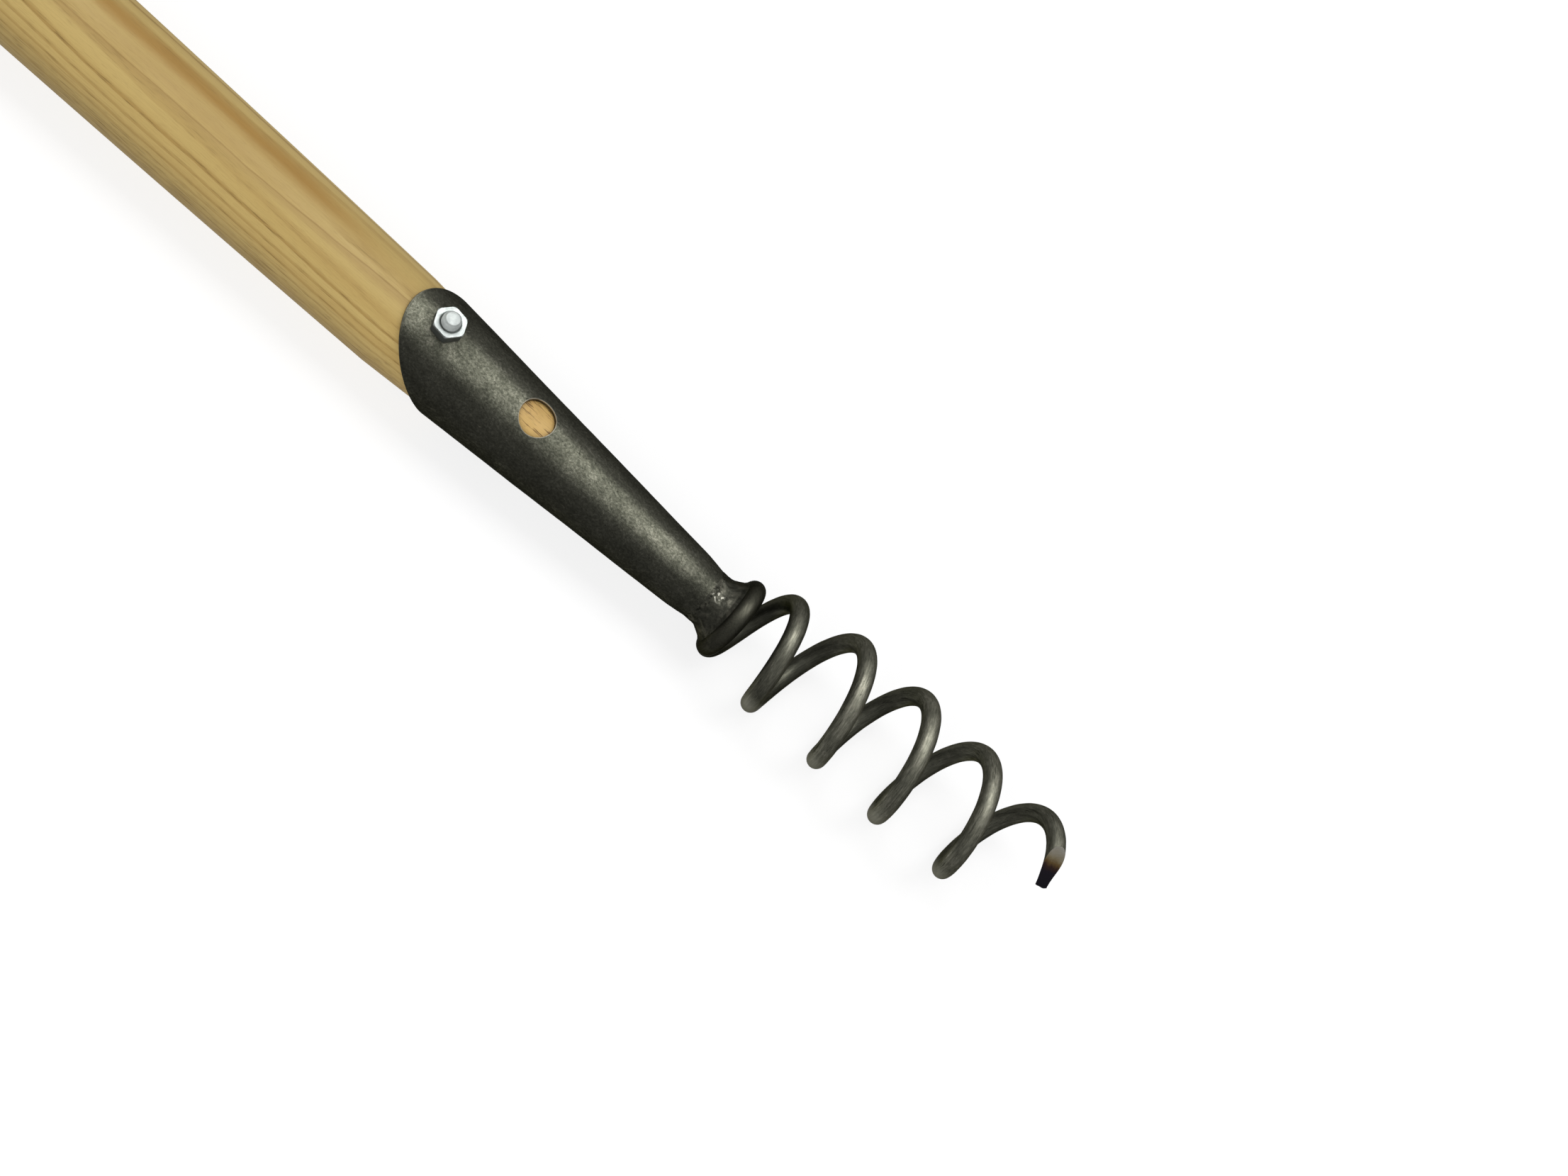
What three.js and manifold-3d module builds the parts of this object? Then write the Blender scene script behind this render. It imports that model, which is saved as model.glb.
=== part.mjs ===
// Hand soil corkscrew on a T-handled ash shaft.
// Row frame: X along the shaft with the point at +X, Y along the grip, +Z up on the nut's side.
// Millimetres. The tool lies on its grip, so its lowest point is Z = 0.
import * as THREE from 'three';
import { mergeVertices } from 'three/addons/utils/BufferGeometryUtils.js';
import Module from 'manifold-3d';

const wasm = await Module();
wasm.setup();

// ---- driving dimensions ---------------------------------------------------------------------
const GAP = 0.3;                    // clearance kept between pieces that touch

// stations along the shaft axis, measured from the middle of the coil (+ towards the point)
const GRIP_X = -870;                // grip axis
const TONGUE_X = -215.5;            // tip of the socket's tongue
const BOLT_X = TONGUE_X + 13.1;
const SIGHT_HOLE_X = BOLT_X + 38.2;
const CONE_END_X = -92;             // the cone runs into the neck
const NECK_X = -84.6;
const RING_X = -75.5;               // plane of the rod's closed first turn

const GRIP_LENGTH = 250;
const GRIP_RADIUS = 21.75;          // at the middle of the barrel
const GRIP_END_RADIUS = 14.75;
const GRIP_ROUNDING = 5;
const SEAT_DEPTH = 5.4;             // counterbore that takes the shaft's shoulder

const SHAFT_RADIUS = 18.5;
const TENON_RADIUS = 12;
const SHAFT_BEVEL = 4.4;            // proud sides of the shoulder, cut back at 45 degrees
const WEDGE_THICK = 3.2;

const SOCKET_WALL = 1.5;
const CONE_RADIUS = 10.55;          // at CONE_END_X - 4
const CONE_SLOPE = 0.0682;          // radius gained per millimetre towards the mouth
const NECK_RADIUS = 9.35;
const SPIGOT_RADIUS = 8.2;          // reduced end that the rod is bent round
const MOUTH_DROP = 22.5;            // how far the mouth falls back from the tongue
const MOUTH_FLATTEN = 4;
const SIGHT_HOLE_RADIUS = 6;
const SIGHT_HOLE_TURN = 1.4;        // degrees off the bolt's line

const ROD_RADIUS = 3.25;
const RING_RADIUS = 11.85;          // centreline of the closed first turn
const COIL_RADIUS = 19.4;           // centreline at the middle of the coil
const COIL_BARREL = 0.00075;        // radius lost per square millimetre from the middle
const COIL_PITCH = 28.0;
const COIL_PITCH_TERMS = [0.477, 0.395];   // second and third powers of the turns
const COIL_PHASE = 116.4;           // angle of the rod at the middle of the coil
const COIL_THROW = 3.36;            // how far the coil's axis stands off the shaft's axis
const THROW_ANGLE = 27.4;           // direction of that throw, from +Y towards +Z
const LEAVE_ANGLE = -900;           // the rod leaves the closed turn
const FREE_ANGLE = -540;            // the pitch is the coil's own from here
const CENTRE_ANGLE = -360;          // the coil's axis has its full throw from here
const END_ANGLE = 811;
const LEAVE_PITCH = 40;
const FACET_DEPTH = 2.35;           // the ground facet passes this far beyond the rod's centre
const FACET_TILT = 6;               // degrees that the facet leans towards the point

const BOLT_RADIUS = 3;
const BOLT_HEAD_RADIUS = 8;
const BOLT_HEAD_HEIGHT = 3.6;
const BOLT_SQUARE = 6;
const NUT_FLATS = 9.5;
const NUT_HEIGHT = 4.2;
const NUT_TURN = -7;                // degrees, so that one corner points nearly along the shaft
const BOLT_STANDS_OUT = 3;

// ---- helpers --------------------------------------------------------------------------------
const rad = THREE.MathUtils.degToRad;
const UP = new THREE.Vector3(0, 0, 1);

function finish(name, colour, roughness, metalness) {
  return new THREE.MeshStandardMaterial({ name, color: colour, roughness, metalness });
}

const ash = finish('ash', 0xc0a672, 0.55, 0);
const scaledSteel = finish('scaled_steel', 0x34352f, 0.5, 0.8);
const rodSteel = finish('rod_steel', 0x4a4a42, 0.38, 0.9);
const weldSteel = finish('weld_steel', 0x2e2f2a, 0.6, 0.8);
const zinc = finish('zinc', 0xc9cdcb, 0.3, 1);

function toSolid(geometry) {
  const bare = geometry.clone();
  bare.deleteAttribute('normal');
  bare.deleteAttribute('uv');
  const merged = mergeVertices(bare, 1e-4);
  return new wasm.Manifold(new wasm.Mesh({
    numProp: 3,
    vertProperties: merged.attributes.position.array,
    triVerts: Uint32Array.from(merged.index.array),
  }));
}

function toGeometry(solid) {
  const mesh = solid.getMesh();
  const geometry = new THREE.BufferGeometry();
  geometry.setAttribute('position', new THREE.BufferAttribute(mesh.vertProperties, 3));
  geometry.setIndex(new THREE.BufferAttribute(mesh.triVerts, 1));
  return geometry;
}

function cut(geometry, ...tools) {
  const solid = tools.reduce((rest, tool) => rest.subtract(toSolid(tool)), toSolid(geometry));
  return toGeometry(solid);
}

// a solid of revolution about X, from [x, radius] pairs in order of rising x
function turned(profile, segments) {
  const points = profile.map(([x, r]) => new THREE.Vector2(r, x));
  return new THREE.LatheGeometry(points, segments).rotateZ(-Math.PI / 2);
}

// a cylinder along Z from low to high, at [x, y]
function upright(radius, low, high, x, segments = 32) {
  const pin = new THREE.CylinderGeometry(radius, radius, high - low, segments);
  return pin.rotateX(Math.PI / 2).translate(x, 0, (low + high) / 2);
}

// a skin over rings of points; a ring of one point is a pole, and the last ring joins the first
function skin(rings) {
  const index = [];
  const starts = [];
  const flat = [];
  for (const ring of rings) {
    starts.push(flat.length / 3);
    ring.forEach((p) => flat.push(p.x, p.y, p.z));
  }
  rings.forEach((ring, i) => {
    const next = (i + 1) % rings.length;
    const other = rings[next];
    const sides = Math.max(ring.length, other.length);
    if (sides === 1) return;
    for (let k = 0; k < sides; k++) {
      const a = starts[i] + (k % ring.length);
      const b = starts[i] + ((k + 1) % ring.length);
      const c = starts[next] + (k % other.length);
      const d = starts[next] + ((k + 1) % other.length);
      if (ring.length > 1) index.push(a, c, b);
      if (other.length > 1) index.push(b, c, d);
    }
  });
  const geometry = new THREE.BufferGeometry();
  geometry.setAttribute('position', new THREE.Float32BufferAttribute(flat, 3));
  geometry.setIndex(index);
  return geometry;
}

// ---- wood -----------------------------------------------------------------------------------
function gripGeometry() {
  const half = GRIP_LENGTH / 2;
  const straight = half - GRIP_ROUNDING;
  const barrel = (y) => GRIP_RADIUS - (GRIP_RADIUS - GRIP_END_RADIUS) * (y / half) ** 2;
  const side = [];
  for (let i = 0; i <= 8; i++) {
    const y = (i / 8) * straight;
    side.push([y, barrel(y)]);
  }
  const edge = barrel(straight);
  for (let i = 1; i <= 4; i++) {
    const turn = rad((i / 4) * 90);
    side.push([
      straight + GRIP_ROUNDING * Math.sin(turn),
      edge - GRIP_ROUNDING * (1 - Math.cos(turn)),
    ]);
  }
  side.push([half, 0]);
  const mirrored = side.slice(1).reverse().map(([y, r]) => [-y, r]);
  const barrelSolid = turned([...mirrored, ...side], 48).rotateZ(Math.PI / 2);
  const seatX = GRIP_RADIUS - SEAT_DEPTH;
  const bore = turned([[-30, 0], [-30, TENON_RADIUS + GAP], [30, TENON_RADIUS + GAP], [30, 0]], 40);
  const seat = turned([
    [seatX, 0], [seatX, SHAFT_RADIUS + GAP], [30, SHAFT_RADIUS + GAP], [30, 0],
  ], 48);
  return cut(barrelSolid, bore, seat).translate(GRIP_X, 0, 0);
}

const coneRadius = (x) => CONE_RADIUS + CONE_SLOPE * (CONE_END_X - 4 - x);
const shaftInSocket = (x) => coneRadius(x) - SOCKET_WALL - GAP;

// the nut sits on the socket's tongue, and the bolt's head on the bare wood under it
const seatHigh = coneRadius(BOLT_X) + 0.65;
const seatLow = -shaftInSocket(BOLT_X - BOLT_HEAD_RADIUS) - GAP;
const squareTop = seatLow + 2;

function shaftGeometry() {
  const shoulder = GRIP_X + GRIP_RADIUS - SEAT_DEPTH + GAP;
  const taperStart = -362;
  const endX = -106;
  const mouthRadius = shaftInSocket(TONGUE_X);
  const profile = [
    [GRIP_X - GRIP_RADIUS + 1.2, 0],
    [GRIP_X - GRIP_RADIUS + 1.2, TENON_RADIUS],
    [shoulder, TENON_RADIUS],
    [shoulder, SHAFT_RADIUS],
    [taperStart, SHAFT_RADIUS],
  ];
  for (let i = 1; i <= 6; i++) {
    const s = i / 6;
    const ease = 0.35 * s + 0.65 * s * s;
    profile.push([
      THREE.MathUtils.lerp(taperStart, TONGUE_X, s),
      THREE.MathUtils.lerp(SHAFT_RADIUS, mouthRadius, ease),
    ]);
  }
  profile.push([endX - 3, shaftInSocket(endX - 3)], [endX, shaftInSocket(endX) - 2], [endX, 0]);
  const body = turned(profile, 48);
  const bevels = [1, -1].map((side) => {
    const block = new THREE.BoxGeometry(20, 60, 20);
    block.rotateY(side * rad(45));
    const reach = SHAFT_RADIUS - SHAFT_BEVEL;
    const out = 10;
    return block.translate(
      shoulder - out * Math.SQRT1_2,
      0,
      side * (reach + out * Math.SQRT1_2),
    );
  });
  const boltHole = upright(BOLT_RADIUS + GAP, -30, 30, BOLT_X);
  const squareHole = new THREE.BoxGeometry(BOLT_SQUARE + 2 * GAP, BOLT_SQUARE + 2 * GAP, 20);
  squareHole.translate(BOLT_X, 0, squareTop + GAP - 10);
  const slotLength = 26;
  const slot = new THREE.BoxGeometry(slotLength, 60, WEDGE_THICK + 2 * GAP);
  slot.translate(GRIP_X - GRIP_RADIUS + slotLength / 2 - 2, 0, 0);
  return cut(body, ...bevels, boltHole, squareHole, slot);
}

function wedgeGeometry() {
  const outline = new THREE.Shape();
  const length = 21;
  outline.moveTo(0, -WEDGE_THICK / 2);
  outline.lineTo(length, -WEDGE_THICK / 2 + 0.9);
  outline.lineTo(length, WEDGE_THICK / 2 - 0.9);
  outline.lineTo(0, WEDGE_THICK / 2);
  const width = TENON_RADIUS * 2 - 2.4;
  const block = new THREE.ExtrudeGeometry(outline, { depth: width, bevelEnabled: false });
  block.translate(0, 0, -width / 2).rotateX(Math.PI / 2);
  return block.translate(GRIP_X - GRIP_RADIUS + 1.2, 0, 0);
}

// ---- socket ---------------------------------------------------------------------------------
function mouthX(angle) {
  const fall = 1 - Math.cos(angle);
  return TONGUE_X + MOUTH_DROP * fall - MOUTH_FLATTEN * fall * fall;
}

function socketGeometry() {
  const sides = 56;
  // angle 0 is +Z, on the tongue
  const around = (radius, place) => Array.from({ length: sides }, (_, k) => {
    const angle = (k / sides) * 2 * Math.PI;
    const x = place(angle);
    const r = radius(x);
    return new THREE.Vector3(x, r * Math.sin(angle), r * Math.cos(angle));
  });
  const fixed = (x, r) => around(() => r, () => x);
  const coneSteps = 7;
  const cone = (inset, endX) => Array.from({ length: coneSteps }, (_, i) => {
    const share = i / coneSteps;
    return around((x) => coneRadius(x) - inset, (angle) => {
      return THREE.MathUtils.lerp(mouthX(angle), endX, share);
    });
  });
  const cavityEnd = -104;
  const spigotEnd = RING_X + ROD_RADIUS - 1;
  const outer = [
    ...cone(0, CONE_END_X - 4),
    fixed(CONE_END_X - 4, CONE_RADIUS),
    fixed(CONE_END_X, CONE_RADIUS - 0.45),
    fixed(NECK_X - 2, NECK_RADIUS),
    fixed(NECK_X + 3.4, NECK_RADIUS - 0.35),
    fixed(NECK_X + 4.2, SPIGOT_RADIUS),
    fixed(spigotEnd, SPIGOT_RADIUS),
    [new THREE.Vector3(spigotEnd, 0, 0)],
  ];
  const inner = [
    [new THREE.Vector3(cavityEnd, 0, 0)],
    fixed(cavityEnd, coneRadius(cavityEnd) - SOCKET_WALL),
    ...cone(SOCKET_WALL, cavityEnd).reverse(),
  ];
  const shell = skin([...outer, ...inner]);
  const boltHole = upright(BOLT_RADIUS + GAP, 0, 30, BOLT_X);
  const sightHole = upright(SIGHT_HOLE_RADIUS, 0, 30, SIGHT_HOLE_X, 40);
  sightHole.rotateX(rad(SIGHT_HOLE_TURN));
  return cut(shell, boltHole, sightHole);
}

function weldGeometry() {
  // a collar of weld between the neck and the closed turn, clear of both by the gap
  const near = NECK_X + 1.4;
  const clear = ROD_RADIUS + GAP;
  const profile = [];
  for (let i = 0; i <= 3; i++) {
    // the face that fits the closed turn
    const angle = rad(THREE.MathUtils.lerp(250, 165, i / 3));
    profile.push([RING_X + clear * Math.cos(angle), RING_RADIUS + clear * Math.sin(angle)]);
  }
  const foot = NECK_RADIUS + 0.1;
  const fillet = [
    [RING_X - clear - 0.8, RING_RADIUS - 0.5],
    [near + 2.2, foot + 0.85],
    [near + 1, foot + 0.3],
    [near, foot + 0.1],
    [near, foot],
    [NECK_X + 3.8, foot],
    [NECK_X + 4.6, SPIGOT_RADIUS + GAP],
  ];
  const closed = [...profile, ...fillet, profile[0]];
  return turned(closed.reverse(), 40);
}

// ---- corkscrew ------------------------------------------------------------------------------
function rodCentre(degrees) {
  const turns = (degrees - COIL_PHASE) / 360;
  let x = COIL_PITCH * turns + COIL_PITCH_TERMS[0] * turns ** 2 + COIL_PITCH_TERMS[1] * turns ** 3;
  let radius = COIL_RADIUS - COIL_BARREL * x * x;
  let offset = COIL_THROW;
  const free = (FREE_ANGLE - COIL_PHASE) / 360;
  if (degrees < FREE_ANGLE) {
    // a cubic from the closed turn's plane to the coil's own pitch
    const s = THREE.MathUtils.clamp((degrees - LEAVE_ANGLE) / (FREE_ANGLE - LEAVE_ANGLE), 0, 1);
    const freeX = COIL_PITCH * free + COIL_PITCH_TERMS[0] * free ** 2
      + COIL_PITCH_TERMS[1] * free ** 3;
    const freePitch = COIL_PITCH + 2 * COIL_PITCH_TERMS[0] * free
      + 3 * COIL_PITCH_TERMS[1] * free ** 2;
    x = RING_X * (2 * s ** 3 - 3 * s ** 2 + 1) + freeX * (3 * s ** 2 - 2 * s ** 3)
      + LEAVE_PITCH * (s ** 3 - 2 * s ** 2 + s) + freePitch * (s ** 3 - s ** 2);
  }
  if (degrees < CENTRE_ANGLE) {
    const s = THREE.MathUtils.clamp((degrees - LEAVE_ANGLE) / (CENTRE_ANGLE - LEAVE_ANGLE), 0, 1);
    const full = COIL_RADIUS - COIL_BARREL * 37 ** 2;
    radius = THREE.MathUtils.lerp(RING_RADIUS, full, Math.min(1, s / 0.62) ** 0.7);
    offset = COIL_THROW * s;
  }
  const throwAt = rad(THROW_ANGLE);
  const rodAt = rad(THROW_ANGLE + degrees);
  return new THREE.Vector3(
    x,
    offset * Math.cos(throwAt) + radius * Math.cos(rodAt),
    offset * Math.sin(throwAt) + radius * Math.sin(rodAt),
  );
}

class RodPath extends THREE.Curve {
  getPoint(share, target = new THREE.Vector3()) {
    return target.copy(rodCentre(THREE.MathUtils.lerp(LEAVE_ANGLE - 20, END_ANGLE, share)));
  }
}

function corkscrewGeometry() {
  const section = new THREE.Shape();
  section.absarc(0, 0, ROD_RADIUS, 0, 2 * Math.PI);
  const turns = (END_ANGLE - LEAVE_ANGLE) / 360;
  const coil = new THREE.ExtrudeGeometry(section, {
    steps: Math.round(turns * 30),
    curveSegments: 6,
    bevelEnabled: false,
    extrudePath: new RodPath(),
  });
  const ring = new THREE.TorusGeometry(RING_RADIUS, ROD_RADIUS, 12, 40);
  ring.rotateY(Math.PI / 2).translate(RING_X, 0, 0);

  const end = rodCentre(END_ANGLE);
  const along = end.clone().sub(rodCentre(END_ANGLE - 1)).normalize();
  const outward = end.clone().setX(0).normalize();
  const tilt = rad(FACET_TILT);
  const facing = outward.multiplyScalar(Math.cos(tilt));
  facing.add(new THREE.Vector3(Math.sin(tilt), 0, 0));
  facing.addScaledVector(along, -facing.dot(along)).normalize();
  const across = new THREE.Vector3().crossVectors(facing, along);
  const reach = 20;
  const block = new THREE.BoxGeometry(22, 12, reach);
  block.translate(-6, 0, reach / 2 - FACET_DEPTH);
  const place = new THREE.Matrix4().makeBasis(along, across, facing).setPosition(end);
  block.applyMatrix4(place);
  return toGeometry(toSolid(coil).add(toSolid(ring)).subtract(toSolid(block)));
}

// ---- bolt and nut ---------------------------------------------------------------------------
function boltGeometry() {
  const top = seatHigh + NUT_HEIGHT + BOLT_STANDS_OUT;
  const chamfer = 0.7;
  const shank = turned([
    [seatLow, 0], [seatLow, BOLT_RADIUS], [top - chamfer, BOLT_RADIUS],
    [top, BOLT_RADIUS - chamfer], [top, 0],
  ], 24);
  const dome = [[seatLow - BOLT_HEAD_HEIGHT, 0]];
  for (let i = 1; i <= 5; i++) {
    const turn = rad((i / 5) * 78);
    dome.push([
      seatLow - BOLT_HEAD_HEIGHT * Math.cos(turn) - 0.2,
      BOLT_HEAD_RADIUS * Math.sin(turn) / Math.sin(rad(78)),
    ]);
  }
  dome.push([seatLow, BOLT_HEAD_RADIUS], [seatLow, 0]);
  const head = turned(dome, 32);
  const neck = new THREE.BoxGeometry(2.5, BOLT_SQUARE, BOLT_SQUARE);
  neck.translate(squareTop - 1.25, 0, 0);
  const joined = toSolid(shank).add(toSolid(head)).add(toSolid(neck));
  return toGeometry(joined).rotateY(-Math.PI / 2);
}

function nutGeometry() {
  const corner = NUT_FLATS / Math.sqrt(3);
  const body = new THREE.CylinderGeometry(corner, corner, NUT_HEIGHT, 6);
  body.rotateX(Math.PI / 2).rotateZ(Math.PI / 2);
  const cone = turned([
    [-NUT_HEIGHT / 2, 0], [-NUT_HEIGHT / 2, corner - 0.5], [-NUT_HEIGHT / 2 + 0.4, corner + 0.1],
    [NUT_HEIGHT / 2 - 0.4, corner + 0.1], [NUT_HEIGHT / 2, corner - 0.5], [NUT_HEIGHT / 2, 0],
  ], 36).rotateY(-Math.PI / 2);
  const hole = upright(BOLT_RADIUS + GAP, -NUT_HEIGHT, NUT_HEIGHT, 0, 24);
  return toGeometry(toSolid(body).intersect(toSolid(cone)).subtract(toSolid(hole)));
}

// ---- assembly -------------------------------------------------------------------------------
function piece(name, geometry, material) {
  const mesh = new THREE.Mesh(geometry, material);
  mesh.name = name;
  return mesh;
}

const bolt = piece('carriage_bolt', boltGeometry(), zinc);
bolt.position.set(BOLT_X, 0, 0);

const nut = piece('hex_nut', nutGeometry(), zinc);
nut.position.set(BOLT_X, 0, seatHigh + NUT_HEIGHT / 2);
nut.setRotationFromAxisAngle(UP, rad(NUT_TURN));

const tool = new THREE.Group();
tool.add(
  piece('t_grip', gripGeometry(), ash),
  piece('shaft', shaftGeometry(), ash),
  piece('tenon_wedge', wedgeGeometry(), ash),
  piece('socket', socketGeometry(), scaledSteel),
  piece('weld_collar', weldGeometry(), weldSteel),
  piece('corkscrew', corkscrewGeometry(), rodSteel),
  bolt,
  nut,
);

// the origin is under the middle of the whole tool, on the surface it lies on
const box = new THREE.Box3().setFromObject(tool);
tool.position.set(-(box.min.x + box.max.x) / 2, 0, -box.min.z);

export default tool;
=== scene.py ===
import math

import bmesh
import bpy
from mathutils import Matrix, Vector, noise
from mathutils.kdtree import KDTree


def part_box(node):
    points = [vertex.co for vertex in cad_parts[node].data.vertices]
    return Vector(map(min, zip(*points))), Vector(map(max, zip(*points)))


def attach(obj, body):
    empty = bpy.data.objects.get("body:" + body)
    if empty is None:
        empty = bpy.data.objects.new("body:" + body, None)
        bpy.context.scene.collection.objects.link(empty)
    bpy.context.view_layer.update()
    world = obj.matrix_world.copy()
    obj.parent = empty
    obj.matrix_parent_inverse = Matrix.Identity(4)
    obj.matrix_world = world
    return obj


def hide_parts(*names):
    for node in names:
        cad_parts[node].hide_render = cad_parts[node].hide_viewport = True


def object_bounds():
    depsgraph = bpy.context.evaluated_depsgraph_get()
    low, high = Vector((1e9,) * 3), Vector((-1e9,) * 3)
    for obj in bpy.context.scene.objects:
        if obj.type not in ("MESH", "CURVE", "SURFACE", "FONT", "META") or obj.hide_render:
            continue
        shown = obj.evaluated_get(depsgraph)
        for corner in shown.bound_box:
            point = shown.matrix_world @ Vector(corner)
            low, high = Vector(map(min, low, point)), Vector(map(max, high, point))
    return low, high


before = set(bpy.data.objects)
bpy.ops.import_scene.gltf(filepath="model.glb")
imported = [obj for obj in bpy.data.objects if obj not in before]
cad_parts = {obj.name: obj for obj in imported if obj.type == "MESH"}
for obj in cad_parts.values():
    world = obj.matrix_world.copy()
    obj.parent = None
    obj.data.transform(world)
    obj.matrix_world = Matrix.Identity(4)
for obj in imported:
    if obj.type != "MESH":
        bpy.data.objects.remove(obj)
cad_low, cad_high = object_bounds()

# ---- dimensions shared with the CAD part --------------------------------------------------------
# Millimetres. Stations run along the shaft axis from the middle of the coil, + towards the point.
MM = 0.001
GRIP_X = -870.0
TONGUE_X = -215.5
BOLT_X = TONGUE_X + 13.1
HOLE_X = BOLT_X + 38.2
CONE_END_X = -92.0
NECK_X = -84.6
RING_X = -75.5
GRIP_HALF = 125.0
GRIP_R = 21.75
GRIP_END_R = 14.75
GRIP_ROUNDING = 5.0
SEAT_DEPTH = 5.4
GAP = 0.3
SHAFT_R = 18.5
TENON_R = 12.0
BEVEL = 4.4
WEDGE = 3.2
WALL = 1.5
CONE_R = 10.55
CONE_SLOPE = 0.0682
NECK_R = 9.35
SPIGOT_R = 8.2
HOLE_R = 6.0
HOLE_TURN = math.radians(1.4)
ROD_R = 3.25
RING_R = 11.85
COIL_R = 19.4
BARREL = 0.00075
PITCH = 28.0
PITCH_TERMS = (0.477, 0.395)
COIL_PHASE = 116.4
THROW = 3.36
THROW_ANGLE = math.radians(27.4)
LEAVE_ANGLE = -900.0
FREE_ANGLE = -540.0
CENTRE_ANGLE = -360.0
END_ANGLE = 811.0
LEAVE_PITCH = 40.0
FULL_X = 37
FULL_SHARE = 0.62
LEAD_IN = 20
FACET_DEPTH = 2.35
FACET_TILT = math.radians(6)
BOLT_R = 3.0
NUT_FLATS = 9.5
NUT_HEIGHT = 4.2
NUT_TURN = math.radians(-7)
STANDS_OUT = 3.0
HEAD_R = 8.0
HEAD_HEIGHT = 3.6
CONE_FLAT_X = CONE_END_X - 4                  # the cone's slope ends here, before its rounded end
HOLE_LEAN = math.sin(HOLE_TURN) * 15.2        # how far the sight hole sits towards -Y
TENON_END_X = GRIP_X - GRIP_R + 1.2
SHOULDER_X = GRIP_X + GRIP_R - SEAT_DEPTH     # floor of the grip's recess for the shaft
PAD_RISE = 0.65                               # how far the nut's face is above the cone
SQUARE_HEIGHT = 2.0
THROUGH = 30                                  # reaches right through any piece
WOOD_SIDES = 112

# the shaft's axis in the shared frame, in metres: its station from the tongue's tip, its height
# from the shaft
ORIGIN = Vector((
    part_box("socket")[0].x - TONGUE_X * MM,
    0,
    (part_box("shaft")[0].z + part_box("shaft")[1].z) / 2,
))

# directions across the shaft, seen from the camera: TOWARDS faces it, SIDE is to its upper right
SIDE = Vector((0, math.cos(THROW_ANGLE), math.sin(THROW_ANGLE)))
TOWARDS = Vector((0, -math.sin(THROW_ANGLE), math.cos(THROW_ANGLE)))


def cone_radius(x):
    return CONE_R + CONE_SLOPE * (CONE_FLAT_X - x)


def shaft_in_socket(x):
    return cone_radius(x) - WALL - GAP


SEAT = cone_radius(BOLT_X) + PAD_RISE         # height of the face that the nut sits on
HEAD_SEAT = -shaft_in_socket(BOLT_X - HEAD_R) - GAP
SQUARE_TOP = HEAD_SEAT + SQUARE_HEIGHT


# ---- mesh helpers -------------------------------------------------------------------------------
def make(name, rings, materials, closed=False, sharp=35):
    """A piece from rings of points in millimetres. A ring of one point closes an end."""
    points, starts, faces = [], [], []
    for ring in rings:
        starts.append(len(points))
        points.extend(ring)
    count = len(rings)
    for i in range(count if closed else count - 1):
        here, there = rings[i], rings[(i + 1) % count]
        a0, b0 = starts[i], starts[(i + 1) % count]
        sides = max(len(here), len(there))
        for k in range(sides):
            n = (k + 1) % sides
            if len(here) == 1:
                faces.append((a0, b0 + k, b0 + n))
            elif len(there) == 1:
                faces.append((a0 + k, b0, a0 + n))
            else:
                faces.append((a0 + k, b0 + k, b0 + n, a0 + n))
    mesh = bpy.data.meshes.new(name)
    place = [(ORIGIN.x + p[0] * MM, ORIGIN.y + p[1] * MM, ORIGIN.z + p[2] * MM) for p in points]
    mesh.from_pydata(place, [], faces)
    piece = bpy.data.objects.new(name, mesh)
    bpy.context.scene.collection.objects.link(piece)
    for material in materials:
        mesh.materials.append(material)
    finish_mesh(piece, sharp)
    return piece


def finish_mesh(piece, sharp):
    """Normals outwards, smooth faces, and sharp edges above an angle in degrees."""
    bm = bmesh.new()
    bm.from_mesh(piece.data)
    bmesh.ops.recalc_face_normals(bm, faces=bm.faces)
    bm.to_mesh(piece.data)
    bm.free()
    soften(piece, sharp)


def soften(piece, sharp):
    piece.data.shade_smooth()
    piece.data.set_sharp_from_angle(angle=math.radians(sharp))


def carve(piece, tools, operation="DIFFERENCE", sharp=35):
    """Cut tools from a piece, or join them to it, and remove them."""
    for tool in tools:
        modifier = piece.modifiers.new("carve", "BOOLEAN")
        modifier.operation = operation
        modifier.solver = "EXACT"
        modifier.object = tool
    bpy.context.view_layer.update()
    graph = bpy.context.evaluated_depsgraph_get()
    carved = bpy.data.meshes.new_from_object(piece.evaluated_get(graph))
    piece.modifiers.clear()
    piece.data = carved
    for tool in tools:
        bpy.data.objects.remove(tool)
    soften(piece, sharp)


def round_turns(sides):
    return [2 * math.pi * k / sides for k in range(sides)]


def circle(x, r, sides):
    """A ring about the shaft axis that starts at +Y."""
    return [(x, r * math.cos(turn), r * math.sin(turn)) for turn in round_turns(sides)]


def circle_z(x, r, sides):
    """A ring about the shaft axis that starts at +Z."""
    return [(x, r * math.sin(turn), r * math.cos(turn)) for turn in round_turns(sides)]


def circle_up(x, r, z, sides):
    """A level ring about an upright axis at a station."""
    return [(x + r * math.cos(turn), r * math.sin(turn), z) for turn in round_turns(sides)]


def turned(name, profile, sides, materials, axis="X", centre=(0, 0, 0), sharp=35):
    """A solid of revolution from (station, radius) pairs; radius 0 closes an end."""
    rings = []
    for x, r in profile:
        ring = circle(x, r, sides) if r else [(x, 0, 0)]
        if axis == "Y":
            ring = [(-p[1], p[0], p[2]) for p in ring]
        if axis == "Z":
            ring = [(-p[2], p[1], p[0]) for p in ring]
        rings.append([(p[0] + centre[0], p[1] + centre[1], p[2] + centre[2]) for p in ring])
    return make(name, rings, materials, sharp=sharp)


def drill(name, start, end, r, sides, axis="X", centre=(0, 0, 0)):
    """A round tool for carving."""
    return turned(name, [(start, 0), (start, r), (end, r), (end, 0)], sides, [], axis, centre)


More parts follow.
